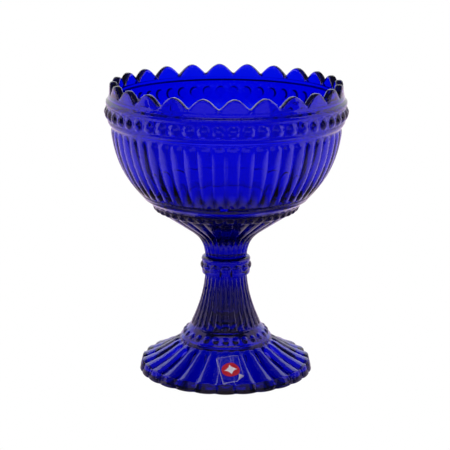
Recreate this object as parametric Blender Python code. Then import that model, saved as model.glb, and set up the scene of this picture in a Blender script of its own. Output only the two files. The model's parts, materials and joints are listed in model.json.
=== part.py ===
"""Footed pressed-glass bowl with a scalloped rim, fluted body and petalled foot.

The glass is two pressings joined hot in the stem: a bowl that tapers into its
neck, and a foot, hollow underneath, that rises through the stem to a beaded collar.
A small clear film label with a printed disc and star is stuck on the foot.
Lengths are in millimetres until they reach a vertex; angles are in radians,
measured round +Z from the front (-Y) towards +X.
"""
import math

import bmesh
import bpy

MM = 0.001
TURN = 2.0 * math.pi

# The rim and the beaded band under it.
TOTAL_HEIGHT = 155.0
SCALLOP_DEPTH = 5.2
SCALLOP_SHARPNESS = 1.15
RIM_RADIUS = 60.7
RIM_WALL = 4.4
RIM_ROUNDING = 1.4
LIP_RADIUS = 62.5
BAND_RADIUS = 61.8
BAND_TOP = 142.5
BAND_FOOT = 136.3
BAND_BEAD_RADIUS = 3.1
BAND_BEAD_LIFT = 1.5
BAND_BEAD_HEIGHT = 139.4

# The body of the bowl is an arc turned about the axis, inside and out.
BODY_CENTRE_RADIUS = 6.9
BODY_CENTRE_HEIGHT = 133.6
BODY_ARC = 53.2
CAVITY_ARC = 48.4
RIB_TOP_LEAN = math.radians(1.9)
RIB_FOOT_LEAN = math.radians(42.6)
RIB_DEPTH = 1.0
RIB_SHARPNESS = 2.1
RIB_TIP = 3.2
RIB_FADE = 6.0

# Counts of what repeats round the axis.
SCALLOPS = 24
FLUTES = 52
RING_BEADS = 44
PETALS = 26
COLLAR_BEADS = 13

# Where the repeats start.
SCALLOP_PHASE = math.radians(3.84)
FLUTE_PHASE = math.radians(3.26)
PETAL_PHASE = 0.0

# The ring of small beads under the body, and the neck.
RING_BEAD_TOP = (38.7, 90.5)
RING_BEAD_FOOT = (36.0, 87.3)
RING_BEAD_RADIUS = 1.9
RING_BEAD_LIFT = 0.9
NECK_TOP = (34.9, 86.8)
NECK_BEND = (19.15, 76.2)
NECK_RADIUS = 11.1
NECK_DEPTH = 0.7
NECK_TIP = 4.0

# The stem: where the two pressings meet, and the gap between them.
JOINT_HEIGHT = 62.2
JOINT_GAP = 0.3
COLLAR_TOP = JOINT_HEIGHT - JOINT_GAP
COLLAR_RADIUS = 12.65
COLLAR_BEAD_HEIGHT = 57.2
COLLAR_BEAD_WIDTH = 2.8
COLLAR_BEAD_REACH = 1.95
COLLAR_BEAD_LIFT = 0.9
STEM_DEPTH = 0.65
STEM_SHARPNESS = 2.2

# The foot: cone of beads, petals, wall and rest ring.
CONE_TOP = (19.5, 23.3)
CONE_FOOT = (23.6, 18.5)
CONE_BEAD_PLACE = 0.55
CONE_BEAD_WIDTH = 1.75
CONE_BEAD_REACH = 1.6
CONE_BEAD_LIFT = 0.8
PETAL_CURVE = ((24.7, 16.7), (30.7, 11.8), (37.2, 8.4), (44.2, 5.8))
PETAL_DEPTH = 1.3
PETAL_SHARPNESS = 2.3
PETAL_TIP = 4.2
PETAL_SLOPE = math.radians(25.8)
SHOULDER = (44.75, 5.55)
WALL_TOP = (44.9, 4.9)
FOOT_RADIUS = 46.0
REST_OUTER_RADIUS = 45.2
REST_INNER_RADIUS = 39.6
HOLLOW_CURVE = ((38.8, 1.0), (29.0, 4.5), (20.0, 19.0), (0.6, 22.0))

# The label.
LABEL_WIDTH = 11.8
LABEL_LENGTH = 18.2
LABEL_CENTRE_X = 2.6
LABEL_CENTRE_RADIUS = 36.0
LABEL_TILT = math.radians(11.8)
LABEL_LIFT = 0.6
LABEL_SAG = 0.3
FILM_THICKNESS = 0.15
PRINT_GAP = 0.1
PRINT_THICKNESS = 0.12
DISC_RADIUS = 4.75
STAR_RADIUS = 3.5
CURL_ALONG_BOTTOM = 5.4
CURL_UP_SIDE = 4.8
CURL_RADIUS = 0.9
CURL_TURN = math.radians(150.0)


def clear_scene():
    """Start from an empty scene."""
    for item in list(bpy.data.objects):
        bpy.data.objects.remove(item, do_unlink=True)


def glass_material(name, colour, roughness, transmission):
    """A plain Principled material."""
    material = bpy.data.materials.new(name)
    material.use_nodes = True
    shader = material.node_tree.nodes["Principled BSDF"]
    shader.inputs["Base Color"].default_value = (*colour, 1.0)
    shader.inputs["Roughness"].default_value = roughness
    shader.inputs["Metallic"].default_value = 0.0
    shader.inputs["Transmission Weight"].default_value = transmission
    material.diffuse_color = (*colour, 1.0)
    return material


def finish(name, mesh_builder, material, sharp_degrees):
    """Turn a closed bmesh into a named object with outward faces."""
    bmesh.ops.recalc_face_normals(mesh_builder, faces=mesh_builder.faces)
    mesh = bpy.data.meshes.new(name)
    mesh_builder.to_mesh(mesh)
    mesh_builder.free()
    mesh.shade_smooth()
    mesh.set_sharp_from_angle(angle=math.radians(sharp_degrees))
    mesh.materials.append(material)
    item = bpy.data.objects.new(name, mesh)
    bpy.context.scene.collection.objects.link(item)
    return item


def from_centre(angle, count, phase):
    """Distance from the middle of the nearest repeat, as a share of its width (-0.5 to 0.5)."""
    place = (angle - phase) * count / TURN
    return place - math.floor(place + 0.5)


def rib_relief(count, phase, depth, sharpness, tip=0.0):
    """Convex ribs side by side: zero along their middles, -depth in the grooves between them.

    The tip runs from 0 along a rib to 1 where its round end meets the plain surface."""
    def relief(angle):
        across = 2.0 * abs(from_centre(angle, count, phase))
        return -depth * min(across ** sharpness + tip ** 2, 1.0)
    return relief


def bead_relief(count, phase, ring_radius, width, reach, lift, offset):
    """Domes side by side, cut by a level that lies offset from their middles."""
    def relief(angle):
        across = from_centre(angle, count, phase) * TURN * ring_radius / count
        inside = 1.0 - (across / width) ** 2 - (offset / reach) ** 2
        return lift * math.sqrt(max(0.0, inside))
    return relief


def level(radius, height, tilt=0.0, relief=None):
    """One level of a turned profile, with a relief raised along a direction tilted from +R to +Z."""
    def point(angle):
        lift = relief(angle) if relief else 0.0
        return radius + lift * math.cos(tilt), height + lift * math.sin(tilt)
    return point


def curve_point(ends, share):
    """A point of a cubic Bezier curve and the tilt of its outward normal."""
    rest = 1.0 - share
    weights = (rest ** 3, 3.0 * rest ** 2 * share, 3.0 * rest * share ** 2, share ** 3)
    slopes = (-3.0 * rest ** 2, 3.0 * rest * (rest - 2.0 * share),
              3.0 * share * (2.0 * rest - share), 3.0 * share ** 2)
    radius = sum(w * p[0] for w, p in zip(weights, ends))
    height = sum(w * p[1] for w, p in zip(weights, ends))
    run = sum(w * p[0] for w, p in zip(slopes, ends))
    rise = sum(w * p[1] for w, p in zip(slopes, ends))
    return radius, height, math.atan2(run, -rise)


def add_ring(mesh_builder, count, phase, point):
    """A closed loop of vertices at one level."""
    ring = []
    for step in range(count):
        angle = phase + TURN * step / count
        radius, height = point(angle)
        place = (radius * math.sin(angle) * MM, -radius * math.cos(angle) * MM, height * MM)
        ring.append(mesh_builder.verts.new(place))
    return phase, ring


def stitch(mesh_builder, first, second):
    """Faces between two rings, which may differ in their number of points."""
    phase_a, ring_a = first
    phase_b, ring_b = second
    count_a, count_b = len(ring_a), len(ring_b)
    if count_a == count_b:
        for step in range(count_a):
            after = (step + 1) % count_a
            mesh_builder.faces.new((ring_a[step], ring_a[after], ring_b[after], ring_b[step]))
        return
    step_a, step_b = 0, 0
    while step_a < count_a or step_b < count_b:
        next_a = phase_a + TURN * (step_a + 1) / count_a
        next_b = phase_b + TURN * (step_b + 1) / count_b
        here_a, here_b = ring_a[step_a % count_a], ring_b[step_b % count_b]
        if step_b == count_b or (step_a < count_a and next_a <= next_b):
            step_a += 1
            mesh_builder.faces.new((here_a, ring_a[step_a % count_a], here_b))
        else:
            step_b += 1
            mesh_builder.faces.new((here_a, ring_b[step_b % count_b], here_b))


def turned(name, levels, material, sharp_degrees):
    """A closed solid from levels of (count, phase, point), capped flat at both ends."""
    builder = bmesh.new()
    rings = [add_ring(builder, count, phase, point) for count, phase, point in levels]
    for first, second in zip(rings, rings[1:]):
        stitch(builder, first, second)
    builder.faces.new(rings[0][1])
    builder.faces.new(rings[-1][1])
    return finish(name, builder, material, sharp_degrees)


def between(start, end, share):
    """A point on a straight line."""
    return tuple(a + (b - a) * share for a, b in zip(start, end))


def rim_height(angle, drop):
    """Top of the scalloped rim: round lobes that meet in sharper valleys."""
    share = from_centre(angle, SCALLOPS, SCALLOP_PHASE)
    lobe = min(1.0, math.sqrt(math.cos(math.pi * share) ** 2 + 0.004))
    return TOTAL_HEIGHT - SCALLOP_DEPTH * (1.0 - lobe ** SCALLOP_SHARPNESS) - drop


def rim_level(radius, drop):
    """A level that follows the scallops."""
    def point(angle):
        return radius, rim_height(angle, drop)
    return point


def cavity_and_rim():
    """Levels up the cavity and over the scalloped rim."""
    levels = []
    start = FLUTE_PHASE
    for step in range(9):
        lean = math.radians(90.0 - 11.0 * step)
        radius = BODY_CENTRE_RADIUS + CAVITY_ARC * math.cos(lean)
        height = BODY_CENTRE_HEIGHT - CAVITY_ARC * math.sin(lean)
        levels.append((FLUTES, start, level(radius, height)))
    inner = RIM_RADIUS - RIM_WALL
    levels.append((FLUTES, start, level(inner, 147.0)))

    lobed = 6 * SCALLOPS
    levels.append((lobed, SCALLOP_PHASE, rim_level(inner, RIM_ROUNDING)))
    levels.append((lobed, SCALLOP_PHASE, rim_level(inner + RIM_ROUNDING, 0.0)))
    levels.append((lobed, SCALLOP_PHASE, rim_level(RIM_RADIUS - 0.3 - RIM_ROUNDING, 0.0)))
    levels.append((lobed, SCALLOP_PHASE, rim_level(RIM_RADIUS - 0.3, RIM_ROUNDING)))
    return levels


def band():
    """Levels of the lip, the beaded band and the ledge under it."""
    levels = []
    ridged = 2 * FLUTES
    start = FLUTE_PHASE
    lip = ((60.75, 148.2), (61.05, 147.4), (61.05, 146.5), (62.3, 145.5), (LIP_RADIUS, 144.3), (61.9, 143.1))
    for radius, height in lip:
        levels.append((ridged, start, level(radius, height)))
    for step in range(5):
        height = BAND_TOP - (BAND_TOP - BAND_FOOT) * step / 4
        relief = bead_relief(FLUTES, start, BAND_RADIUS, BAND_BEAD_RADIUS, BAND_BEAD_RADIUS,
                             BAND_BEAD_LIFT, height - BAND_BEAD_HEIGHT)
        levels.append((4 * FLUTES, start, level(BAND_RADIUS, height, 0.0, relief)))
    for radius, height in ((61.7, 135.2), (60.9, 133.3), (60.1, 132.2)):
        levels.append((ridged, start, level(radius, height)))
    return levels


def body():
    """Levels of the ribbed body and the ring edge it ends in."""
    levels = []
    start = FLUTE_PHASE
    length = BODY_ARC * (RIB_FOOT_LEAN - RIB_TOP_LEAN)
    for share in (0.0, 0.03, 0.085, 0.28, 0.47, 0.66, 0.84, 1.0):
        lean = RIB_TOP_LEAN + (RIB_FOOT_LEAN - RIB_TOP_LEAN) * share
        tip = max(0.0, 1.0 - share * length / RIB_TIP)
        fade = min(1.0, (1.0 - share) * length / RIB_FADE)
        relief = rib_relief(FLUTES, start, RIB_DEPTH * fade, RIB_SHARPNESS, tip)
        radius = BODY_CENTRE_RADIUS + BODY_ARC * math.cos(lean)
        height = BODY_CENTRE_HEIGHT - BODY_ARC * math.sin(lean)
        levels.append((4 * FLUTES, start, level(radius, height, -lean, relief)))
    for radius, height in ((43.4, 94.4), (41.4, 93.0), (39.0, 91.2)):
        levels.append((2 * FLUTES, start, level(radius, height)))
    return levels


def neck():
    """Levels of the small beads and the ribbed neck down to the joint."""
    levels = []
    run = RING_BEAD_TOP[0] - RING_BEAD_FOOT[0]
    fall = RING_BEAD_TOP[1] - RING_BEAD_FOOT[1]
    tilt = -math.atan2(run, fall)
    for step in range(3):
        radius, height = between(RING_BEAD_TOP, RING_BEAD_FOOT, step / 2)
        relief = bead_relief(RING_BEADS, FLUTE_PHASE, radius, RING_BEAD_RADIUS, RING_BEAD_RADIUS,
                             RING_BEAD_LIFT, RING_BEAD_RADIUS * (1 - step))
        levels.append((2 * RING_BEADS, FLUTE_PHASE, level(radius, height, tilt, relief)))
    run = NECK_TOP[0] - NECK_BEND[0]
    fall = NECK_TOP[1] - NECK_BEND[1]
    tilt = -math.atan2(run, fall)
    for share in (0.0, 0.1, 0.22, 0.6):
        radius, height = between(NECK_TOP, NECK_BEND, share)
        tip = max(0.0, 1.0 - share * math.hypot(run, fall) / NECK_TIP)
        relief = rib_relief(PETALS, PETAL_PHASE, NECK_DEPTH, STEM_SHARPNESS, tip)
        levels.append((2 * PETALS, PETAL_PHASE, level(radius, height, tilt, relief)))
    bend = (NECK_BEND, (14.7, 73.1), (11.5, 69.5), (NECK_RADIUS, JOINT_HEIGHT))
    relief = rib_relief(PETALS, PETAL_PHASE, NECK_DEPTH, STEM_SHARPNESS)
    for share in (0.0, 0.3, 0.6, 1.0):
        radius, height, tilt = curve_point(bend, share)
        levels.append((2 * PETALS, PETAL_PHASE, level(radius, height, tilt, relief)))
    return levels


def bowl_levels():
    """Levels of the bowl: up the cavity, over the rim, down the outside to the joint."""
    return cavity_and_rim() + band() + body() + neck()


def collar():
    """Levels of the beaded collar, from its top to the stem."""
    levels = []
    columns = 2 * PETALS
    for radius, height in ((11.5, COLLAR_TOP), (12.3, COLLAR_TOP - 0.3), (13.0, 60.3), (12.7, 59.3)):
        levels.append((columns, PETAL_PHASE, level(radius, height)))
    for step in range(5):
        height = 59.1 - step
        relief = bead_relief(COLLAR_BEADS, PETAL_PHASE, COLLAR_RADIUS, COLLAR_BEAD_WIDTH,
                             COLLAR_BEAD_REACH, COLLAR_BEAD_LIFT, height - COLLAR_BEAD_HEIGHT)
        levels.append((columns, PETAL_PHASE, level(COLLAR_RADIUS, height, 0.0, relief)))
    for radius, height in ((12.75, 54.9), (12.75, 53.2), (12.4, 52.4)):
        levels.append((columns, PETAL_PHASE, level(radius, height)))
    return levels


def stem_and_cone():
    """Levels of the ribbed stem and the beaded cone it stands on."""
    levels = []
    columns = 4 * PETALS
    stem = ((11.1, 52.2), (11.6, 43.5), (14.0, 34.8), (18.2, 25.6))
    relief = rib_relief(PETALS, PETAL_PHASE, STEM_DEPTH, STEM_SHARPNESS)
    for step in range(7):
        radius, height, tilt = curve_point(stem, step / 6)
        levels.append((columns, PETAL_PHASE, level(radius, height, tilt, relief)))
    for radius, height in ((18.3, 24.9), (18.6, 24.15), (19.2, 23.8)):
        levels.append((columns, PETAL_PHASE, level(radius, height)))
    run = CONE_FOOT[0] - CONE_TOP[0]
    fall = CONE_TOP[1] - CONE_FOOT[1]
    tilt = math.atan2(run, fall)
    for share in (0.0, 0.3, 0.42, CONE_BEAD_PLACE, 0.68, 0.8, 1.0):
        radius, height = between(CONE_TOP, CONE_FOOT, share)
        offset = math.hypot(run, fall) * (CONE_BEAD_PLACE - share)
        relief = bead_relief(PETALS, PETAL_PHASE, radius, CONE_BEAD_WIDTH, CONE_BEAD_REACH,
                             CONE_BEAD_LIFT, offset)
        levels.append((columns, PETAL_PHASE, level(radius, height, tilt, relief)))
    for radius, height in ((24.4, 17.7), (24.3, 17.2)):
        levels.append((columns, PETAL_PHASE, level(radius, height)))
    return levels


def petals_and_wall():
    """Levels of the petals, the scalloped shoulder and wall, and the rest ring."""
    levels = []
    columns = 6 * PETALS
    start = PETAL_PHASE
    length = math.dist(PETAL_CURVE[0], PETAL_CURVE[3])
    for share in (0.0, 0.06, 0.13, 0.28, 0.46, 0.64, 0.82, 1.0):
        radius, height, tilt = curve_point(PETAL_CURVE, share)
        tip = max(0.0, 1.0 - share * length / PETAL_TIP)
        relief = rib_relief(PETALS, start, PETAL_DEPTH, PETAL_SHARPNESS, tip)
        levels.append((columns, start, level(radius, height, tilt, relief)))
    wall = ((*SHOULDER, 1.0), (*WALL_TOP, 0.9), (FOOT_RADIUS, 0.3, 0.35), (FOOT_RADIUS - 0.1, 0.0, 0.3),
            (REST_OUTER_RADIUS, 0.0, 0.25))
    for radius, height, depth in wall:
        relief = rib_relief(PETALS, start, PETAL_DEPTH * depth, PETAL_SHARPNESS)
        levels.append((columns, start, level(radius, height, 0.0, relief)))
    return levels


def hollow():
    """Levels from the rest ring up the shallow dome under the foot."""
    levels = [(2 * PETALS, PETAL_PHASE, level(REST_INNER_RADIUS, 0.0))]
    for share in (0.0, 0.1, 0.22, 0.36, 0.5, 0.65, 0.8, 0.94):
        radius, height, _ = curve_point(HOLLOW_CURVE, share)
        levels.append((2 * PETALS, PETAL_PHASE, level(radius, height)))
    return levels


def foot_levels():
    """Levels of the foot: down the outside from the collar, under the rim, up the hollow."""
    return collar() + stem_and_cone() + petals_and_wall() + hollow()


def crest_height(radius):
    """Height of the petal ridges at a radius, level beyond the shoulder."""
    crest = [curve_point(PETAL_CURVE, step / 10)[:2] for step in range(11)] + [SHOULDER]
    for inner, outer in zip(crest, crest[1:]):
        if radius <= outer[0]:
            share = (radius - inner[0]) / (outer[0] - inner[0])
            return inner[1] + (outer[1] - inner[1]) * share
    return SHOULDER[1]


def curled(across, along, lift):
    """Roll the lower outer corner of the film up and back over itself."""
    hypotenuse = math.hypot(CURL_ALONG_BOTTOM, CURL_UP_SIDE)
    out_a = CURL_UP_SIDE / hypotenuse
    out_b = CURL_ALONG_BOTTOM / hypotenuse
    corner_distance = CURL_ALONG_BOTTOM * CURL_UP_SIDE / hypotenuse
    to_corner_a = across - LABEL_WIDTH / 2.0
    to_corner_b = along - LABEL_LENGTH / 2.0
    beyond = corner_distance + to_corner_a * out_a + to_corner_b * out_b
    if beyond <= 0.0:
        return across, along, lift
    turn = min(beyond / CURL_RADIUS, CURL_TURN)
    straight = beyond - turn * CURL_RADIUS
    radius = CURL_RADIUS - lift
    reach = radius * math.sin(turn) + straight * math.cos(turn)
    rise = CURL_RADIUS - radius * math.cos(turn) + straight * math.sin(turn)
    shift = reach - beyond
    return across + shift * out_a, along + shift * out_b, rise


def on_foot(across, along, lift):
    """A point of the label, laid over the petal ridges."""
    across, along, lift = curled(across, along, lift)
    cos_tilt, sin_tilt = math.cos(LABEL_TILT), math.sin(LABEL_TILT)
    right = LABEL_CENTRE_X + across * cos_tilt + along * sin_tilt
    down = along * cos_tilt - across * sin_tilt
    forward = LABEL_CENTRE_RADIUS + down * math.cos(PETAL_SLOPE)
    radius = math.hypot(right, forward)
    share = from_centre(math.atan2(right, forward), PETALS, PETAL_PHASE)
    sag = LABEL_SAG * (1.0 - (2.0 * share) ** 2)
    height = crest_height(radius) + LABEL_LIFT - sag + lift
    return right * MM, -forward * MM, height * MM


def film_grid(builder, columns, rows, lift):
    """A rectangular sheet of vertices at one height in the label."""
    grid = []
    for row in range(rows + 1):
        along = LABEL_LENGTH * (row / rows - 0.5)
        line = []
        for column in range(columns + 1):
            across = LABEL_WIDTH * (column / columns - 0.5)
            line.append(builder.verts.new(on_foot(across, along, lift)))
        grid.append(line)
    return grid


def film(name, material):
    """The clear film, one thin closed sheet."""
    columns, rows = 12, 15
    builder = bmesh.new()
    below = film_grid(builder, columns, rows, 0.0)
    above = film_grid(builder, columns, rows, FILM_THICKNESS)
    for grid in (below, above):
        for row in range(rows):
            for column in range(columns):
                corners = (grid[row][column], grid[row][column + 1],
                           grid[row + 1][column + 1], grid[row + 1][column])
                builder.faces.new(corners)
    edges = [(0, column) for column in range(columns)]
    edges += [(row, columns) for row in range(rows)]
    edges += [(rows, columns - column) for column in range(columns)]
    edges += [(rows - row, 0) for row in range(rows)]
    for (row_a, column_a), (row_b, column_b) in zip(edges, edges[1:] + edges[:1]):
        corners = (below[row_a][column_a], below[row_b][column_b],
                   above[row_b][column_b], above[row_a][column_a])
        builder.faces.new(corners)
    return finish(name, builder, material, 60.0)


def printed(name, outline, points, rings, base, material):
    """A thin printed shape on the film: outline(angle) is its radius."""
    builder = bmesh.new()
    sheets = []
    for lift in (base, base + PRINT_THICKNESS):
        centre = builder.verts.new(on_foot(0.0, 0.0, lift))
        loops = []
        for ring in range(1, rings + 1):
            loop = []
            for step in range(points):
                angle = TURN * step / points
                reach = outline(angle) * ring / rings
                place = on_foot(reach * math.sin(angle), -reach * math.cos(angle), lift)
                loop.append(builder.verts.new(place))
            loops.append(loop)
        sheets.append((centre, loops))
    for centre, loops in sheets:
        for step in range(points):
            after = (step + 1) % points
            builder.faces.new((centre, loops[0][step], loops[0][after]))
            for inner, outer in zip(loops, loops[1:]):
                builder.faces.new((inner[step], outer[step], outer[after], inner[after]))
    low, high = sheets[0][1][-1], sheets[1][1][-1]
    for step in range(points):
        after = (step + 1) % points
        builder.faces.new((low[step], low[after], high[after], high[step]))
    return finish(name, builder, material, 40.0)


def disc_outline(angle):
    """A plain circle."""
    return DISC_RADIUS


def star_outline(angle):
    """A four-pointed star with hollow sides."""
    spread = abs(math.cos(angle)) ** 0.7 + abs(math.sin(angle)) ** 0.7
    return STAR_RADIUS / spread ** (1.0 / 0.7)


def build():
    """Make every piece."""
    clear_scene()
    cobalt = glass_material("cobalt_glass_bowl", (0.004, 0.004, 0.45), 0.03, 1.0)
    cobalt_foot = glass_material("cobalt_glass_foot", (0.004, 0.004, 0.42), 0.03, 1.0)
    clear_film = glass_material("clear_label_film", (0.75, 0.75, 0.85), 0.25, 0.8)
    red_print = glass_material("red_print", (0.62, 0.02, 0.03), 0.4, 0.0)
    white_print = glass_material("white_print", (0.9, 0.9, 0.95), 0.4, 0.0)
    turned("bowl", bowl_levels(), cobalt, 25.0)
    turned("foot", foot_levels(), cobalt_foot, 25.0)
    film("label_film", clear_film)
    disc_base = FILM_THICKNESS + PRINT_GAP
    star_base = disc_base + PRINT_THICKNESS + PRINT_GAP
    printed("label_disc", disc_outline, 24, 3, disc_base, red_print)
    printed("label_star", star_outline, 16, 2, star_base, white_print)


build()
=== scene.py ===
"""The look of a footed pressed-glass bowl: fine glass surfaces, a film label and a pale studio."""
import json
import math

import bpy
import numpy as np
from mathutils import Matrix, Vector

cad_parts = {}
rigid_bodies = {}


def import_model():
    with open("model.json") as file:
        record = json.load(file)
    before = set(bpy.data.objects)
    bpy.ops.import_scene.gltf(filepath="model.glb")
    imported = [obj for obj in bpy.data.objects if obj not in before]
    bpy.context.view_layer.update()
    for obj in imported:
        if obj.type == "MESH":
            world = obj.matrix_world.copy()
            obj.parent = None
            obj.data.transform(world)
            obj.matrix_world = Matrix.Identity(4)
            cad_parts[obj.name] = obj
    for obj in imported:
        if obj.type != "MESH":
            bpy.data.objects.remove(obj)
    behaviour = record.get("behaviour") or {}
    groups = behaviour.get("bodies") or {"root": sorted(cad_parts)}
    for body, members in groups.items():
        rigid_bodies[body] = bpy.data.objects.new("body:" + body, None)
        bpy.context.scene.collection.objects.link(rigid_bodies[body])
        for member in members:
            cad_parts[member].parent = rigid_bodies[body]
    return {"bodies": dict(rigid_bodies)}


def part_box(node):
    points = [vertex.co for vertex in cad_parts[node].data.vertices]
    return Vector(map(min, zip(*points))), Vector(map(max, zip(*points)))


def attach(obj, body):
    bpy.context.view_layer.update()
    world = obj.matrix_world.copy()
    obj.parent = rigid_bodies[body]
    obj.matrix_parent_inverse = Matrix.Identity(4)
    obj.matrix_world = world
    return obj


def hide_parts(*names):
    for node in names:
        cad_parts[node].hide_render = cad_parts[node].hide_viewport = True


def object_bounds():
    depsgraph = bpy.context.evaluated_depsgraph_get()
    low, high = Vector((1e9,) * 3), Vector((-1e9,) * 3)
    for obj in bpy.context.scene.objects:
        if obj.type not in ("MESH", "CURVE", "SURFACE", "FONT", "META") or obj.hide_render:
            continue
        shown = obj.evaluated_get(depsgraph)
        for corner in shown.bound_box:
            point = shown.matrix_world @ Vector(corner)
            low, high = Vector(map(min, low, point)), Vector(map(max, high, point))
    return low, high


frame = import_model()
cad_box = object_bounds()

TURN = 2.0 * math.pi
UPRIGHT = math.radians(90.0)

# Lengths are in design millimetres; MM turns them into metres at the frame's own height.
# Outlines are (radius, height) points, and phases are angles from the front of the bowl.
DESIGN_HEIGHT = 155.0
MM = (cad_box[1][2] - cad_box[0][2]) / DESIGN_HEIGHT
JOINT_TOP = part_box("bowl")[0][2] / MM
JOINT_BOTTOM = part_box("foot")[1][2] / MM
FOOT_RADIUS = -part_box("foot")[0][1] / MM
BODY = next(iter(frame["bodies"]))

# Flat faces across the axis stop at this radius, and a fan of triangles closes them.
CAP_RADIUS = 0.4

# The rim: round lobes on a wall that leans in a little on its way up.
SCALLOPS = 24
SCALLOP_PHASE = math.radians(3.84)
SCALLOP_DEPTH = 5.2
SCALLOP_SHARPNESS = 1.15
VALLEY_ROUNDING = 0.004
RIM_RADIUS = 60.7
RIM_WALL = 4.4
RIM_ROUNDING = 1.4
RIM_LEAN = 0.3
RIM_START = 148.9
RIM_INNER_START = 146.9

# The band of beads, the ledge below it and the lip above it.
BAND_RADIUS = 61.8
BAND_FLARE = 0.1
BAND_LEVELS = (136.3, 142.5)
BAND_BEAD_RADIUS = 3.1
BAND_BEAD_LIFT = 1.5
BAND_BEAD_HEIGHT = 139.4
LIP_RADIUS = 62.5
LEDGE_OUTLINE = ((60.05, 132.2), (60.2, 132.8), (60.9, 133.3), (61.4, 134.2), (61.7, 135.2),
                 (61.6, 135.9), (BAND_RADIUS - 0.3, 136.1))
LIP_OUTLINE = ((BAND_RADIUS + BAND_FLARE, 142.7), (61.9, 143.1), (62.4, 143.5), (LIP_RADIUS, 144.2),
               (LIP_RADIUS, 145.0), (62.3, 145.5), (61.7, 145.9), (61.2, 146.5))
LIP_GROOVE = ((61.05, 146.6), (61.05, 147.5), (60.95, 147.95), (60.75, 148.2))

# Body of the bowl: one arc turned about the axis outside, another inside. Leans are in degrees
# below the horizontal through the centre of both arcs.
BODY_CENTRE = (6.9, 133.6)
BODY_ARC = 53.2
CAVITY_ARC = 48.4
CAVITY_LEANS = (-2.0, 90.0)
CAVITY_TOP = ((RIM_RADIUS - RIM_WALL, 146.0), (55.6, 141.0))
CAVITY_FLOOR_RADIUS = 4.9
FLUTES = 52
FLUTE_PHASE = math.radians(3.26)
FLUTE_DEPTH = 1.0
FLUTE_SHARPNESS = 2.1
FLUTE_LEANS = (42.6, 1.9)
SEAM_ANGLE = math.radians(-1.4)
SEAM_LIFT = 0.12
SEAM_WIDTH = 0.5

# The beaded ring under the body.
RING_LEAN = 46.4
RING_BEADS = 44
RING_BEAD_STRIP = ((36.0, 87.3), (38.7, 90.5))
RING_OUTLINE = ((38.8, 90.7), (39.0, 91.2), (39.9, 91.8), (41.4, 93.0), (42.8, 93.9), (43.4, 94.4))

# Neck, collar and stem.
NECK_JOINT_RADIUS = 10.2
NECK_RADIUS = 11.1
NECK_BEND = (19.15, 76.2)
NECK_CURVE = ((NECK_RADIUS, JOINT_TOP + 0.4), (11.5, 69.5), (14.7, 73.1), NECK_BEND)
NECK_TOP = (34.9, 86.8)
NECK_FLUTE_DEPTH = 0.7
COLLAR_RADIUS = 12.75
COLLAR_BEADS = 13
COLLAR_BEAD_RADIUS = 12.65
COLLAR_BEAD_LEVELS = (55.1, 59.1)
COLLAR_BEAD_HEIGHT = 57.2
COLLAR_UNDERSIDE = ((11.5, 52.3), (12.4, 52.4), (12.75, 53.2), (COLLAR_RADIUS, 54.9))
COLLAR_TOP = ((12.7, 59.3), (12.8, 59.7), (13.0, 60.3), (12.8, 61.1), (12.3, JOINT_BOTTOM - 0.3),
              (11.5, JOINT_BOTTOM))
COLLAR_JOINT_RADIUS = 10.8
STEM_CURVE = ((18.2, 25.6), (14.0, 34.8), (11.6, 43.5), (11.1, 52.2))
STEM_FLUTE_DEPTH = 0.65
STEM_SHARPNESS = 2.2

# The foot: petals from the cone out to the edge, with a shallow hollow underneath.
PETALS = 26
PETAL_PHASE = 0.0
PETAL_DEPTH = 1.3
PETAL_SHARPNESS = 2.3
CONE_BEAD_STRIP = ((23.6, 18.5), (19.5, 23.3))
CONE_UNDERSIDE = ((24.6, 16.9), (24.3, 17.2), (24.4, 17.7), (23.9, 18.2))
CONE_TOP = ((19.4, 23.5), (19.1, 23.9), (18.6, 24.1), (18.35, 24.5), (18.3, 25.0))
FOOT_SHOULDER = (44.2, 5.8)
PETAL_CURVE = ((24.7, 16.7), (30.7, 11.8), (37.2, 8.4), FOOT_SHOULDER)
WALL_TOP = (44.9, 4.9)
SHOULDER_OUTLINE = (FOOT_SHOULDER, (44.75, 5.55), WALL_TOP)
FOOT_EDGE = ((FOOT_RADIUS, 0.3), (FOOT_RADIUS - 0.1, 0.0), (FOOT_RADIUS - 0.8, 0.0))
HOLLOW_CURVE = ((0.6, 22.0), (20.0, 19.0), (29.0, 4.3), (39.2, 0.25))
REST_OUTLINE = ((39.4, 0.15), (39.8, 0.0), (40.6, 0.0))

# The label: a film laid over the petals, with one corner curled, and the print on it. Seen from
# above, it is shorter by its plan share, because it lies on a slope.
LABEL_SIZE = (11.8, 18.2)
LABEL_CENTRE = (2.6, 36.0)
LABEL_TILT = math.radians(11.8)
LABEL_PLAN_SHARE = 0.9
LABEL_LIFT = 0.6
LABEL_SAG = 0.3
FILM_THICKNESS = 0.15
FILM_COLUMNS = 48
FILM_ROWS = 72
FAINT_EDGE_FACTOR = 2.5
PRINT_GAP = 0.1
PRINT_THICKNESS = 0.12
PRINT_POINTS = 96
PRINT_RINGS = 6
PRINT_SHARP_ANGLE = math.radians(50.0)
DISC_RADIUS = 4.75
STAR_RADIUS = 3.5
STAR_POWER = 0.7
CURL_LEGS = (5.4, 4.8)
CURL_LENGTH = math.hypot(*CURL_LEGS)
CURL_REACH = CURL_LEGS[0] * CURL_LEGS[1] / CURL_LENGTH
CURL_RADIUS = 0.9
CURL_TURN = math.radians(150.0)

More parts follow.
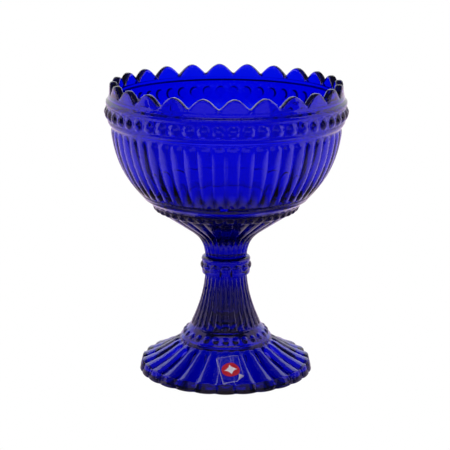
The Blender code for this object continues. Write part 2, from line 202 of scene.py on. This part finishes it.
# Materials. Noise scales are in waves per metre, and bump distances in metres. The two tones of
# each ink are a light one and a dark one.
NOISE_RANGE = (0.3, 0.7)
GLASS_TINT = (0.5, 0.55, 0.99)
GLASS_IOR = 1.51
GLASS_ABSORPTION = (0.0, 0.28, 0.968)
GLASS_DENSITY = 1400.0
GLASS_ROUGHNESS = (0.0, 0.035)
FILM_COLOUR = (0.78, 0.78, 0.88)
FILM_ROUGHNESS = (0.15, 0.35)
FILM_PATCH_WHITE = 0.02
EDGE_FADE = (0.1, 0.7)
EDGE_WHITE = 0.26
CURL_FADE = (0.2, 1.2)
CURL_WHITE = 0.55
INK_ROUGHNESS = (0.3, 0.5)
RED_TONES = ((0.62, 0.03, 0.045), (0.5, 0.015, 0.03))
WHITE_TONES = ((0.9, 0.9, 0.94), (0.8, 0.8, 0.86))

# The studio, in metres. The floor's glow paints the light and shade that the glass sees: full behind
# the object, painted side light a little less bright beside it, a painted grey shadow under it and
# painted shade in front. Each level fades over a range of distance.
WHITE = (1.0, 1.0, 1.0)
VIOLET = (1.0, 0.8, 1.0)
WORLD_LEVEL = 0.07
FLOOR_HALF = 3.0
FLOOR_GAP = 0.0002
# Painted floor light: dim painted shade in front, a grey painted shadow under the foot and painted side
# light beside it.
FLOOR_BEHIND = (0.04, 0.13)
FLOOR_PAINTED_SHADE_LEVEL = 0.07
FLOOR_PAINTED_SHADOW_FADE = (0.055, 0.09)
FLOOR_PAINTED_SHADOW_LEVEL = 0.38
FLOOR_PAINTED_SIDE_FADE = (0.08, 0.2)
FLOOR_PAINTED_SIDE_LIGHT = 0.8
FLOOR_SIDES_NEAR = (-0.25, -0.1)

# Cards around the object: name, centre, width and height, turn, strength and tint.
CARDS = (
    ("card_back", (0.0, 1.3, 0.6), (2.6, 1.6), (UPRIGHT, 0.0, 0.0), 1.0, WHITE),
    ("card_left", (-0.8, 0.28, 0.5), (1.0, 0.8), (UPRIGHT, 0.0, UPRIGHT), 0.95, VIOLET),
    ("card_right", (0.8, 0.22, 0.5), (1.1, 0.8), (UPRIGHT, 0.0, -UPRIGHT), 0.95, VIOLET),
    ("card_top", (0.0, -0.38, 0.95), (0.8, 0.4), (math.radians(155.0), 0.0, 0.0), 0.9, VIOLET),
    ("card_front", (0.0, -1.5, 0.35), (2.6, 0.9), (UPRIGHT, 0.0, 0.0), 0.35, VIOLET),
)
LAMP_SIZE = 0.5
LAMP_ENERGY = 13.0
LAMP_PLACE = (-0.35, -0.5, 1.1)
LAMP_TURN = (math.radians(27.0), 0.0, math.radians(-35.0))

# The camera stands in front of the bowl and looks down on it a little.
CAMERA_PLACE = (-0.58 * MM, -844.0 * MM, 290.0 * MM)
CAMERA_TILT = math.radians(90.0 - 14.09)
CAMERA_ROLL = math.radians(0.2)
CAMERA_LENS = 132.0
CAMERA_SENSOR = 36.0
CAMERA_CLIP_END = 20.0


# ---------------------------------------------------------------- profiles

def arc(centre, radius, leans):
    """Points on an arc; the leans are degrees below the horizontal."""
    leans = np.radians(leans)
    return np.stack([centre[0] + radius * np.cos(leans), centre[1] - radius * np.sin(leans)], 1)


def bezier(ends, count):
    """Points on a cubic Bezier curve, given by its two ends and the two handles between them."""
    share = np.linspace(0.0, 1.0, count)[:, None]
    rest = 1.0 - share
    ends = np.array(ends)
    return (rest ** 3 * ends[0] + 3.0 * rest ** 2 * share * ends[1]
            + 3.0 * rest * share ** 2 * ends[2] + share ** 3 * ends[3])


def soft(corners, count):
    """Points on a smooth curve that rounds the corners of an outline and keeps its ends."""
    corners = np.array(corners, dtype=float)
    padded = np.vstack([corners[0], corners, corners[-1]])
    just_short = len(padded) - 2.001
    points = []
    for place in np.linspace(0.0, just_short, count):
        index = int(place)
        t = place - index
        a, b, c = padded[index:index + 3]
        points.append(0.5 * ((1 - t) ** 2 * a + (1 + 2 * t - 2 * t * t) * b + t * t * c))
    points[0] = corners[0]
    points[-1] = corners[-1]
    return np.array(points)


def straight(start, end, count):
    """Points on a straight line."""
    share = np.linspace(0.0, 1.0, count)[:, None]
    return (1.0 - share) * np.array(start) + share * np.array(end)


def ends_close(start, end):
    """Values along a stretch that crowd towards both ends, where the relief turns."""
    crowded = (0.0, 0.012, 0.03, 0.055, 0.085, 0.12, 0.17, 0.24, 0.32, 0.41)
    shares = crowded + (0.5,) + tuple(1.0 - share for share in reversed(crowded))
    return [start + (end - start) * share for share in shares]


# ---------------------------------------------------------------- reliefs

def column_angles(count, phase, half_shares):
    """Angles of the mesh columns: the same uneven shares on both sides of the middle of each
    repeat, and one column in the groove between two repeats."""
    shares = [-share for share in reversed(half_shares)] + [0.0, *half_shares, 0.5]
    repeats = phase + TURN * np.arange(count)[:, None] / count
    return (repeats + TURN * np.array(shares)[None, :] / count).ravel()


BOWL_ANGLES = column_angles(FLUTES, FLUTE_PHASE, (0.1, 0.21, 0.31, 0.4, 0.46))
FOOT_ANGLES = column_angles(PETALS, PETAL_PHASE, (0.05, 0.1, 0.15, 0.2, 0.25, 0.3, 0.34, 0.38,
                                                  0.41, 0.44, 0.47))


def from_centre(angles, count, phase):
    """Distance from the middle of the nearest repeat, as a share of its width (-0.5 to 0.5)."""
    place = (angles - phase) * count / TURN
    return place - np.floor(place + 0.5)


def reeds(count, phase, depth, sharpness, fade_in=0.0, round_end=0.0, base_share=1.0):
    """Convex ribs side by side, highest along their middles, with grooves between them.

    The grooves start at base_share of their depth and reach it all over fade_in. The ribs end
    in round tips of length round_end."""
    def relief(points, along, angles):
        across = 2.0 * np.abs(from_centre(angles, count, phase))[None, :]
        total = along[-1]
        tip = np.clip(1.0 - (total - along) / round_end, 0.0, 1.0)[:, None] if round_end else 0.0
        full = 1.0
        if fade_in:
            full = base_share + (1.0 - base_share) * np.clip(along / fade_in, 0.0, 1.0)[:, None]
        return -depth * full * np.minimum(across ** sharpness + tip ** 2, 1.0)
    return relief


def domes(count, phase, middle, half_width, half_height, lift, power=0.6):
    """Round beads, centred at a share of the way along the profile.

    A power of 0.5 makes half an ellipsoid, and a higher one makes the bead's edge gentler."""
    def relief(points, along, angles):
        across = from_centre(angles, count, phase) * TURN / count
        sideways = across[None, :] * points[:, :1] / half_width
        updown = (along - middle * along[-1])[:, None] / half_height
        return lift * np.clip(1.0 - sideways ** 2 - updown ** 2, 0.0, 1.0) ** power
    return relief


def share_of(levels, height):
    """How far up between two levels a height lies."""
    low, high = levels
    return (height - low) / (high - low)


def normals(points):
    """Outward directions of a profile that runs upwards on its outer side."""
    run = np.gradient(points, axis=0)
    length = np.maximum(np.hypot(run[:, 0], run[:, 1]), 1e-9)
    return np.stack([run[:, 1] / length, -run[:, 0] / length], 1)


def raised(angles, points, relief=None):
    """Radii and heights of a stretch of profile at every angle, with its relief."""
    points = np.array(points, dtype=float)
    steps = np.hypot(*np.diff(points, axis=0).T)
    along = np.concatenate([[0.0], np.cumsum(steps)])
    lift = relief(points, along, angles) if relief else np.zeros((len(points), len(angles)))
    out = normals(points)
    return points[:, :1] + lift * out[:, :1], points[:, 1:] + lift * out[:, 1:]


def seam(angles, stretch):
    """Add the fine fin that a joint between two mould parts leaves on the outside."""
    radii, heights = stretch
    away = (angles - SEAM_ANGLE + math.pi) % TURN - math.pi
    return radii + SEAM_LIFT * np.exp(-(away[None, :] * radii / SEAM_WIDTH) ** 2), heights


# ---------------------------------------------------------------- meshes

def linked(name, vertices, faces, material):
    """A smooth mesh object in the scene."""
    mesh = bpy.data.meshes.new(name)
    mesh.from_pydata(vertices, [], faces)
    mesh.validate()
    mesh.shade_smooth()
    mesh.materials.append(material)
    item = bpy.data.objects.new(name, mesh)
    bpy.context.scene.collection.objects.link(item)
    return item


def turned_object(name, angles, stretches, material):
    """A closed glass body from stretches of (radii, heights), capped at both ends."""
    radii = np.vstack([stretch[0] for stretch in stretches])
    heights = np.vstack([stretch[1] for stretch in stretches])
    rows, columns = radii.shape
    x = radii * np.sin(angles)
    y = -radii * np.cos(angles)
    vertices = np.stack([x, y, heights], 2).reshape(-1, 3) * MM
    row = np.arange(rows - 1)[:, None] * columns
    here = np.arange(columns)[None, :]
    after = (here + 1) % columns
    quads = np.stack([row + here, row + after, row + columns + after, row + columns + here], 2)
    faces = quads.reshape(-1, 4).tolist()
    first = len(vertices)
    ends = [[0.0, 0.0, heights[0].mean() * MM], [0.0, 0.0, heights[-1].mean() * MM]]
    vertices = np.vstack([vertices, ends])
    last_row = (rows - 1) * columns
    for step in range(columns):
        following = (step + 1) % columns
        faces.append((first, following, step))
        faces.append((first + 1, last_row + step, last_row + following))
    return linked(name, vertices.tolist(), faces, material)


# ---------------------------------------------------------------- bowl

def neck_stretches(angles):
    """From the joint in the stem, up the ribbed neck, to the beaded ring under the body."""
    ribs = reeds(PETALS, PETAL_PHASE, NECK_FLUTE_DEPTH, STEM_SHARPNESS, round_end=4.0)
    beads = domes(RING_BEADS, FLUTE_PHASE, middle=0.5, half_width=1.9, half_height=1.9, lift=0.9)
    bend = bezier(NECK_CURVE, count=14)
    cone = straight(NECK_BEND, NECK_TOP, count=10)
    joint = straight((CAP_RADIUS, JOINT_TOP), (NECK_JOINT_RADIUS, JOINT_TOP), count=3)
    return [raised(angles, joint),
            raised(angles, np.vstack([bend, cone[1:]]), ribs),
            raised(angles, straight(*RING_BEAD_STRIP, count=10), beads),
            raised(angles, soft(RING_OUTLINE, count=9))]


def body_stretches(angles):
    """The ribbed body, with a plain strip below the ribs and a mould seam near the front."""
    ribs = reeds(FLUTES, FLUTE_PHASE, FLUTE_DEPTH, FLUTE_SHARPNESS,
                 fade_in=6.0, round_end=3.2, base_share=0.0)
    plain = arc(BODY_CENTRE, BODY_ARC, np.linspace(RING_LEAN, FLUTE_LEANS[0], 3))
    ribbed = arc(BODY_CENTRE, BODY_ARC, ends_close(*FLUTE_LEANS))
    return [raised(angles, plain), seam(angles, raised(angles, ribbed, ribs))]


def band_stretches(angles):
    """The ledge, the band of beads, the rounded lip and the groove above it."""
    beads = domes(FLUTES, FLUTE_PHASE, share_of(BAND_LEVELS, BAND_BEAD_HEIGHT), BAND_BEAD_RADIUS,
                  BAND_BEAD_RADIUS, BAND_BEAD_LIFT, power=0.9)
    low, high = BAND_LEVELS
    strip = straight((BAND_RADIUS, low), (BAND_RADIUS + BAND_FLARE, high), count=17)
    return [raised(angles, soft(LEDGE_OUTLINE, count=9)),
            raised(angles, strip, beads),
            raised(angles, soft(LIP_OUTLINE, count=11)),
            raised(angles, soft(LIP_GROOVE, count=6))]


def rim_top(angles):
    """Height of the scalloped rim at every angle: round lobes that meet in sharper valleys."""
    lobe = np.abs(np.cos(math.pi * from_centre(angles, SCALLOPS, SCALLOP_PHASE)))
    lobe = np.minimum(np.sqrt(lobe ** 2 + VALLEY_ROUNDING), 1.0)
    return DESIGN_HEIGHT - SCALLOP_DEPTH * (1.0 - lobe ** SCALLOP_SHARPNESS)


def rim_stretch(angles):
    """The rim: up the outside, over the rounded top and down the inside."""
    shoulder = rim_top(angles) - RIM_ROUNDING
    outer = RIM_RADIUS - RIM_LEAN
    inner = RIM_RADIUS - RIM_WALL

    def rounded(edge, side, degrees):
        """A place on the rounding, on the outer side (-1) or the inner side (1)."""
        turn = math.radians(degrees)
        inwards = RIM_ROUNDING * (1.0 - math.cos(turn))
        return edge + side * inwards, shoulder + RIM_ROUNDING * math.sin(turn)

    rows = [(RIM_RADIUS - RIM_LEAN * share, RIM_START + share * (shoulder - RIM_START))
            for share in (0.0, 0.3, 0.6, 0.85)]
    rows += [rounded(outer, -1.0, degrees) for degrees in (0.0, 25.0, 50.0, 75.0, 90.0)]
    rows += [rounded(inner, 1.0, degrees) for degrees in (90.0, 65.0, 40.0, 15.0, 0.0)]
    rows += [(inner, RIM_INNER_START + share * (shoulder - RIM_INNER_START))
             for share in (0.7, 0.35, 0.0)]
    radii = np.array([np.full(len(angles), radius) for radius, height in rows])
    heights = np.array([height for radius, height in rows])
    return radii, heights


def cavity_stretches(angles):
    """The inside of the bowl, from the rim down to its flat floor."""
    wall = np.vstack([CAVITY_TOP, arc(BODY_CENTRE, CAVITY_ARC, np.linspace(*CAVITY_LEANS, 24))])
    bottom = BODY_CENTRE[1] - CAVITY_ARC
    flat = straight((CAVITY_FLOOR_RADIUS, bottom), (CAP_RADIUS, bottom), count=3)
    return [raised(angles, wall), raised(angles, flat)]


def bowl_object(material):
    """The upper pressing, from its joint up the outside, over the rim and down the cavity."""
    angles = BOWL_ANGLES
    stretches = (neck_stretches(angles) + body_stretches(angles) + band_stretches(angles)
                 + [rim_stretch(angles)] + cavity_stretches(angles))
    return turned_object("bowl_glass", angles, stretches, material)


# ---------------------------------------------------------------- foot

def crest_top():
    """The petal ridges from the cone out to the rounding just above the foot's wall."""
    slope = bezier(PETAL_CURVE, count=24)
    rounding = soft(SHOULDER_OUTLINE, count=6)[1:-1]
    return np.vstack([slope, rounding])


CREST_TOP = crest_top()


def petal_stretches(angles):
    """The hollow, the flat ring that the foot rests on, its wall and its petals."""
    wall = straight(WALL_TOP, FOOT_EDGE[0], count=5)
    crest = np.vstack([CREST_TOP, wall, FOOT_EDGE[1:]])
    petals = reeds(PETALS, PETAL_PHASE, PETAL_DEPTH, PETAL_SHARPNESS,
                   fade_in=6.0, round_end=4.2, base_share=0.25)
    return [raised(angles, bezier(HOLLOW_CURVE, count=26)),
            raised(angles, soft(REST_OUTLINE, count=5)),
            raised(angles, crest[::-1], petals)]


def stem_stretches(angles):
    """The beaded cone and the ribbed stem above it."""
    beads = domes(PETALS, PETAL_PHASE, middle=0.45, half_width=1.75, half_height=1.6, lift=0.8)
    ribs = reeds(PETALS, PETAL_PHASE, STEM_FLUTE_DEPTH, STEM_SHARPNESS)
    return [raised(angles, soft(CONE_UNDERSIDE, count=5)),
            raised(angles, straight(*CONE_BEAD_STRIP, count=12), beads),
            raised(angles, soft(CONE_TOP, count=6)),
            raised(angles, bezier(STEM_CURVE, count=24), ribs)]


def collar_stretches(angles):
    """The beaded collar, closed by the flat joint to the bowl."""
    beads = domes(COLLAR_BEADS, PETAL_PHASE, share_of(COLLAR_BEAD_LEVELS, COLLAR_BEAD_HEIGHT),
                  half_width=2.8, half_height=1.95, lift=0.9)
    low, high = COLLAR_BEAD_LEVELS
    strip = straight((COLLAR_BEAD_RADIUS, low), (COLLAR_BEAD_RADIUS, high), count=12)
    joint = straight((COLLAR_JOINT_RADIUS, JOINT_BOTTOM), (CAP_RADIUS, JOINT_BOTTOM), count=3)
    return [raised(angles, soft(COLLAR_UNDERSIDE, count=7)),
            raised(angles, strip, beads),
            raised(angles, soft(COLLAR_TOP, count=9)),
            raised(angles, joint)]


def foot_object(material):
    """The lower pressing, from the top of the hollow down, round the edge and up the outside."""
    angles = FOOT_ANGLES
    stretches = petal_stretches(angles) + stem_stretches(angles) + collar_stretches(angles)
    return turned_object("foot_glass", angles, stretches, material)


# ---------------------------------------------------------------- label

def beyond_fold(across, along):
    """How far a place on the flat film lies past the line where the corner starts to curl."""
    right, low = LABEL_SIZE[0] / 2.0 - across, LABEL_SIZE[1] / 2.0 - along
    return CURL_REACH - (right * CURL_LEGS[1] + low * CURL_LEGS[0]) / CURL_LENGTH


def curled(across, along, lift):
    """Roll the lower outer corner of the film up and back over itself."""
    beyond = beyond_fold(across, along)
    if beyond <= 0.0:
        return across, along, lift
    turn = min(beyond / CURL_RADIUS, CURL_TURN)
    rest = beyond - turn * CURL_RADIUS
    radius = CURL_RADIUS - lift
    shift = radius * math.sin(turn) + rest * math.cos(turn) - beyond
    rise = CURL_RADIUS - radius * math.cos(turn) + rest * math.sin(turn)
    return (across + shift * CURL_LEGS[1] / CURL_LENGTH, along + shift * CURL_LEGS[0] / CURL_LENGTH, rise)


def on_foot(across, along, lift):
    """A point of the label, laid over the petal ridges, in metres."""
    across, along, lift = curled(across, along, lift)
    right = LABEL_CENTRE[0] + across * math.cos(LABEL_TILT) + along * math.sin(LABEL_TILT)
    down = along * math.cos(LABEL_TILT) - across * math.sin(LABEL_TILT)
    forward = LABEL_CENTRE[1] + down * LABEL_PLAN_SHARE
    radius = math.hypot(right, forward)
    share = float(from_centre(math.atan2(right, forward), PETALS, PETAL_PHASE))
    sag = LABEL_SAG * (1.0 - (2.0 * share) ** 2)
    crest = float(np.interp(radius, CREST_TOP[:, 0], CREST_TOP[:, 1]))
    return right * MM, -forward * MM, (crest + LABEL_LIFT - sag + lift) * MM


def sheet_object(name, below, above, material):
    """A thin closed sheet between two grids of points."""
    deep, wide = len(below), len(below[0])
    vertices = [point for grid in (below, above) for line in grid for point in line]
    half = deep * wide
    faces = []
    for row in range(deep - 1):
        for column in range(wide - 1):
            a = row * wide + column
            quad = (a, a + wide, a + wide + 1, a + 1)
            faces.append(quad)
            faces.append(tuple(half + index for index in reversed(quad)))
    rim = list(range(wide))
    rim += [row * wide + wide - 1 for row in range(1, deep)]
    rim += [(deep - 1) * wide + column for column in range(wide - 2, -1, -1)]
    rim += [row * wide for row in range(deep - 2, 0, -1)]
    for a, b in zip(rim, rim[1:] + rim[:1]):
        faces.append((a, b, half + b, half + a))
    return linked(name, vertices, faces, material)


def film_places():
    """The grid of places on the flat film: a list of rows, from its top edge to its low one."""
    acrosses = [LABEL_SIZE[0] * (column / FILM_COLUMNS - 0.5) for column in range(FILM_COLUMNS + 1)]
    alongs = [LABEL_SIZE[1] * (row / FILM_ROWS - 0.5) for row in range(FILM_ROWS + 1)]
    return [[(across, along) for across in acrosses] for along in alongs]


def from_border(across, along):
    """Distance to the film's cut edge; the top and right edges count as further, so they stay fainter."""
    half_wide, half_long = LABEL_SIZE[0] / 2.0, LABEL_SIZE[1] / 2.0
    return min(half_wide + across, half_long - along,
               FAINT_EDGE_FACTOR * (half_wide - across), FAINT_EDGE_FACTOR * (half_long + along))


def film_object(material):
    """The film, with its distances to the cut edge and to the curl stored as point attributes."""
    places = film_places()
    below, above = ([[on_foot(*place, lift) for place in line] for line in places]
                    for lift in (0.0, FILM_THICKNESS))
    item = sheet_object("label_film_skin", below, above, material)
    for name, measure in (("border", from_border), ("curl", beyond_fold)):
        values = [measure(*place) for line in places for place in line]
        item.data.attributes.new(name, "FLOAT", "POINT").data.foreach_set("value", values * 2)
    return item


def printed_object(name, outline, base, material):
    """A thin printed shape on the film, closed all round."""
    points, rings = PRINT_POINTS, PRINT_RINGS
    vertices, faces = [], []
    for lift in (base, base + PRINT_THICKNESS):
        vertices.append(on_foot(0.0, 0.0, lift))
        for ring in range(1, rings + 1):
            for step in range(points):
                angle = TURN * step / points
                reach = outline(angle) * ring / rings
                vertices.append(on_foot(reach * math.sin(angle), -reach * math.cos(angle), lift))
    half = 1 + points * rings
    for step in range(points):
        after = (step + 1) % points
        faces.append((0, 1 + step, 1 + after))
        faces.append((half, half + 1 + after, half + 1 + step))
        for ring in range(rings - 1):
            a = 1 + ring * points
            b = a + points
            quad = (a + step, b + step, b + after, a + after)
            faces.append(quad)
            faces.append(tuple(half + index for index in reversed(quad)))
        last = 1 + (rings - 1) * points
        faces.append((last + step, half + last + step, half + last + after, last + after))
    item = linked(name, vertices, faces, material)
    item.data.set_sharp_from_angle(angle=PRINT_SHARP_ANGLE)
    return item


def disc_outline(angle):
    """A plain circle."""
    return DISC_RADIUS


def star_outline(angle):
    """A four-pointed star with hollow sides."""
    spread = abs(math.cos(angle)) ** STAR_POWER + abs(math.sin(angle)) ** STAR_POWER
    return STAR_RADIUS / spread ** (1.0 / STAR_POWER)


# ---------------------------------------------------------------- materials

def new_material(name):
    """A node material, its nodes and links, and its shader."""
    material = bpy.data.materials.new(name)
    material.use_nodes = True
    nodes = material.node_tree.nodes
    return material, nodes, material.node_tree.links, nodes["Principled BSDF"]


def noise(nodes, links, scale, detail):
    """A noise texture in object space; scale is in waves per metre."""
    place = nodes.new("ShaderNodeTexCoord")
    texture = nodes.new("ShaderNodeTexNoise")
    texture.inputs["Scale"].default_value = scale
    texture.inputs["Detail"].default_value = detail
    links.new(place.outputs["Object"], texture.inputs["Vector"])
    return texture.outputs["Fac"]


def attribute(nodes, name):
    """A value stored on the mesh."""
    node = nodes.new("ShaderNodeAttribute")
    node.attribute_name = name
    return node.outputs["Fac"]


def remapped(nodes, links, source, given, wanted):
    """Map one range of a value to another, clamped."""
    spread = nodes.new("ShaderNodeMapRange")
    spread.inputs["From Min"].default_value = given[0]
    spread.inputs["From Max"].default_value = given[1]
    spread.inputs["To Min"].default_value = wanted[0]
    spread.inputs["To Max"].default_value = wanted[1]
    links.new(source, spread.inputs["Value"])
    return spread.outputs["Result"]


def combined(nodes, links, operation, first, second=None):
    """One or two values put through a maths operation."""
    maths = nodes.new("ShaderNodeMath")
    maths.operation = operation
    links.new(first, maths.inputs[0])
    if second is not None:
        links.new(second, maths.inputs[1])
    return maths.outputs[0]


def mixed_tones(nodes, links, factor, first, second):
    """A colour between two colours."""
    tones = nodes.new("ShaderNodeMix")
    tones.data_type = "RGBA"
    tones.inputs["A"].default_value = (*first, 1.0)
    tones.inputs["B"].default_value = (*second, 1.0)
    links.new(factor, tones.inputs["Factor"])
    return tones.outputs["Result"]


def bumped(nodes, links, source, shader, distance, strength):
    """Feed a height into the shader's normal."""
    bump = nodes.new("ShaderNodeBump")
    bump.inputs["Distance"].default_value = distance
    bump.inputs["Strength"].default_value = strength
    links.new(source, bump.inputs["Height"])
    links.new(bump.outputs["Normal"], shader.inputs["Normal"])


def cobalt_glass(name):
    """Clear cobalt glass: colour deepens with the path through it; the skin has a faint ripple."""
    material, nodes, links, shader = new_material(name)
    shader.inputs["Base Color"].default_value = (*GLASS_TINT, 1.0)
    shader.inputs["Transmission Weight"].default_value = 1.0
    shader.inputs["IOR"].default_value = GLASS_IOR
    ripple = noise(nodes, links, scale=160.0, detail=2.0)
    bumped(nodes, links, ripple, shader, distance=0.00006, strength=0.5)
    polish = noise(nodes, links, scale=420.0, detail=3.0)
    links.new(remapped(nodes, links, polish, NOISE_RANGE, GLASS_ROUGHNESS), shader.inputs["Roughness"])
    absorb = nodes.new("ShaderNodeVolumeAbsorption")
    absorb.inputs["Color"].default_value = (*GLASS_ABSORPTION, 1.0)
    absorb.inputs["Density"].default_value = GLASS_DENSITY
    links.new(absorb.outputs["Volume"], nodes["Material Output"].inputs["Volume"])
    return material


def film_material():
    """Thin clear film that whitens towards its cut edges and along the curl."""
    material, nodes, links, shader = new_material("film")
    shader.inputs["Base Color"].default_value = (*FILM_COLOUR, 1.0)
    edge_white = remapped(nodes, links, attribute(nodes, "border"), EDGE_FADE, (EDGE_WHITE, 0.0))
    curl_white = remapped(nodes, links, attribute(nodes, "curl"), CURL_FADE, (0.0, CURL_WHITE))
    cloud = noise(nodes, links, scale=500.0, detail=3.0)
    patch = remapped(nodes, links, cloud, NOISE_RANGE, (0.0, FILM_PATCH_WHITE))
    white = combined(nodes, links, "ADD", edge_white, curl_white)
    links.new(combined(nodes, links, "ADD", white, patch), shader.inputs["Alpha"])
    links.new(remapped(nodes, links, cloud, NOISE_RANGE, FILM_ROUGHNESS), shader.inputs["Roughness"])
    wrinkle = noise(nodes, links, scale=700.0, detail=2.0)
    bumped(nodes, links, wrinkle, shader, distance=0.0002, strength=0.4)
    return material


def ink_material(name, light, dark):
    """Printed ink: two close tones, a slight sheen and a fine grain."""
    material, nodes, links, shader = new_material(name)
    grain = noise(nodes, links, scale=900.0, detail=4.0)
    factor = remapped(nodes, links, grain, NOISE_RANGE, (0.0, 1.0))
    links.new(mixed_tones(nodes, links, factor, dark, light), shader.inputs["Base Color"])
    links.new(remapped(nodes, links, grain, NOISE_RANGE, INK_ROUGHNESS), shader.inputs["Roughness"])
    bumped(nodes, links, grain, shader, distance=0.00005, strength=0.3)
    return material


# ---------------------------------------------------------------- pieces

red_ink = ink_material("red_ink", *RED_TONES)
white_ink = ink_material("white_ink", *WHITE_TONES)
disc_base = FILM_THICKNESS + PRINT_GAP
star_base = disc_base + PRINT_THICKNESS + PRINT_GAP
pieces = (
    (bowl_object(cobalt_glass("cobalt_glass_bowl")), "bowl", "bowl_glass"),
    (foot_object(cobalt_glass("cobalt_glass_foot")), "foot", "foot_glass"),
    (film_object(film_material()), "label_film", "clear_film"),
    (printed_object("label_disc_ink", disc_outline, disc_base, red_ink), "label_disc", "red_print"),
    (printed_object("label_star_ink", star_outline, star_base, white_ink), "label_star", "white_print"),
)
for piece, node, slot in pieces:
    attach(piece, BODY)
    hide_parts(node)


# ---------------------------------------------------------------- studio

def emission(name, build):
    """A stage material with one output built by the caller."""
    material = bpy.data.materials.new(name)
    material.use_nodes = True
    nodes, links = material.node_tree.nodes, material.node_tree.links
    nodes.clear()
    output = nodes.new("ShaderNodeOutputMaterial")
    links.new(build(nodes, links), output.inputs["Surface"])
    return material


def stage_plane(name, half_x, half_y, material):
    """A flat rectangle for the studio, linked to the scene."""
    mesh = bpy.data.meshes.new(name)
    corners = [(x * half_x, y * half_y, 0.0) for x, y in ((-1, -1), (1, -1), (1, 1), (-1, 1))]
    mesh.from_pydata(corners, [], [(0, 1, 2, 3)])
    mesh.materials.append(material)
    item = bpy.data.objects.new(name, mesh)
    bpy.context.scene.collection.objects.link(item)
    return item


def card(name, centre, size, facing, strength, tint):
    """A soft card that lights the glass and isn't seen by the camera."""
    def build(nodes, links):
        glow = nodes.new("ShaderNodeEmission")
        glow.inputs["Color"].default_value = (*tint, 1.0)
        glow.inputs["Strength"].default_value = strength
        return glow.outputs["Emission"]

    item = stage_plane(name, size[0] / 2.0, size[1] / 2.0, emission(name, build))
    item.location = centre
    item.rotation_euler = facing
    item.visible_camera = False


def full_to_camera(nodes, links, seen_by_camera, level):
    """A strength of 1 for the camera and a given level for every other ray."""
    mix = nodes.new("ShaderNodeMix")
    if isinstance(level, float):
        mix.inputs["A"].default_value = level
    else:
        links.new(level, mix.inputs["A"])
    mix.inputs["B"].default_value = 1.0
    links.new(seen_by_camera, mix.inputs["Factor"])
    return mix.outputs["Result"]


def painted_floor_light(nodes, links):
    """Painted light and shade on the floor, as the glass sees it: bright behind, painted side light
    beside the object, a painted shadow under it and painted shade in front.
    """
    place = nodes.new("ShaderNodeTexCoord").outputs["Object"]
    split = nodes.new("ShaderNodeSeparateXYZ")
    links.new(place, split.inputs["Vector"])
    length = nodes.new("ShaderNodeVectorMath")
    length.operation = "LENGTH"
    links.new(place, length.inputs[0])
    x, y = split.outputs["X"], split.outputs["Y"]
    # behind: painted shade in front rising to full light behind; under: a painted shadow under the foot;
    # sides: painted side light.
    behind = remapped(nodes, links, y, FLOOR_BEHIND, (FLOOR_PAINTED_SHADE_LEVEL, 1.0))
    under = remapped(nodes, links, length.outputs["Value"], FLOOR_PAINTED_SHADOW_FADE, (FLOOR_PAINTED_SHADOW_LEVEL, 0.0))
    sideways = combined(nodes, links, "ABSOLUTE", x)
    sides = remapped(nodes, links, sideways, FLOOR_PAINTED_SIDE_FADE, (0.0, FLOOR_PAINTED_SIDE_LIGHT))
    near = remapped(nodes, links, y, FLOOR_SIDES_NEAR, (0.0, 1.0))
    sides = combined(nodes, links, "MULTIPLY", sides, near)
    return combined(nodes, links, "MAXIMUM", combined(nodes, links, "MAXIMUM", behind, under), sides)


def floor():
    """A floor that is white to the camera. To the glass it glows dimmer, with painted light and shade and
    a painted violet tint of side light.
    """
    def build(nodes, links):
        seen_by_camera = nodes.new("ShaderNodeLightPath").outputs["Is Camera Ray"]
        strength = full_to_camera(nodes, links, seen_by_camera, painted_floor_light(nodes, links))
        glow = nodes.new("ShaderNodeEmission")
        links.new(strength, glow.inputs["Strength"])
        # To the glass the floor glows in painted violet side light; to the camera it is plain white.
        links.new(mixed_tones(nodes, links, seen_by_camera, VIOLET, WHITE), glow.inputs["Color"])
        return glow.outputs["Emission"]

    item = stage_plane("floor", FLOOR_HALF, FLOOR_HALF, emission("floor", build))
    item.location = (0.0, 0.0, cad_box[0][2] - FLOOR_GAP)


def world():
    """White to the camera and dim to the glass, which is lit by the cards."""
    studio = bpy.data.worlds.new("studio")
    bpy.context.scene.world = studio
    studio.use_nodes = True
    nodes, links = studio.node_tree.nodes, studio.node_tree.links
    background = nodes["Background"]
    background.inputs["Color"].default_value = (*WHITE, 1.0)
    seen_by_camera = nodes.new("ShaderNodeLightPath").outputs["Is Camera Ray"]
    strength = full_to_camera(nodes, links, seen_by_camera, WORLD_LEVEL)
    links.new(strength, background.inputs["Strength"])


def lamp():
    """A soft key lamp high up in front, to the left of the bowl, not mirrored in the glass."""
    data = bpy.data.lights.new("soft_key", "AREA")
    data.shape = "DISK"
    data.size = LAMP_SIZE
    data.energy = LAMP_ENERGY
    item = bpy.data.objects.new("soft_key", data)
    item.location = LAMP_PLACE
    item.rotation_euler = LAMP_TURN
    item.visible_glossy = False
    item.visible_transmission = False
    bpy.context.scene.collection.objects.link(item)


def camera():
    """The camera, tilted down to the bowl and rolled a little about its own line of sight."""
    data = bpy.data.cameras.new("camera")
    data.lens = CAMERA_LENS
    data.sensor_width = CAMERA_SENSOR
    data.clip_end = CAMERA_CLIP_END
    item = bpy.data.objects.new("camera", data)
    item.location = CAMERA_PLACE
    lean, swing = -CAMERA_ROLL * math.sin(CAMERA_TILT), CAMERA_ROLL * math.cos(CAMERA_TILT)
    item.rotation_euler = (CAMERA_TILT, lean, swing)
    bpy.context.scene.collection.objects.link(item)
    bpy.context.scene.camera = item


def colours_and_bounces():
    """Plain colours, enough bounces to get through both walls of the bowl, and no caustics."""
    scene = bpy.context.scene
    scene.view_settings.view_transform = "Standard"
    scene.cycles.max_bounces = 32
    scene.cycles.transmission_bounces = 32
    scene.cycles.glossy_bounces = 12
    scene.cycles.transparent_max_bounces = 16
    scene.cycles.caustics_reflective = False
    scene.cycles.caustics_refractive = False


floor()
world()
for entry in CARDS:
    card(*entry)
lamp()
camera()
colours_and_bounces()
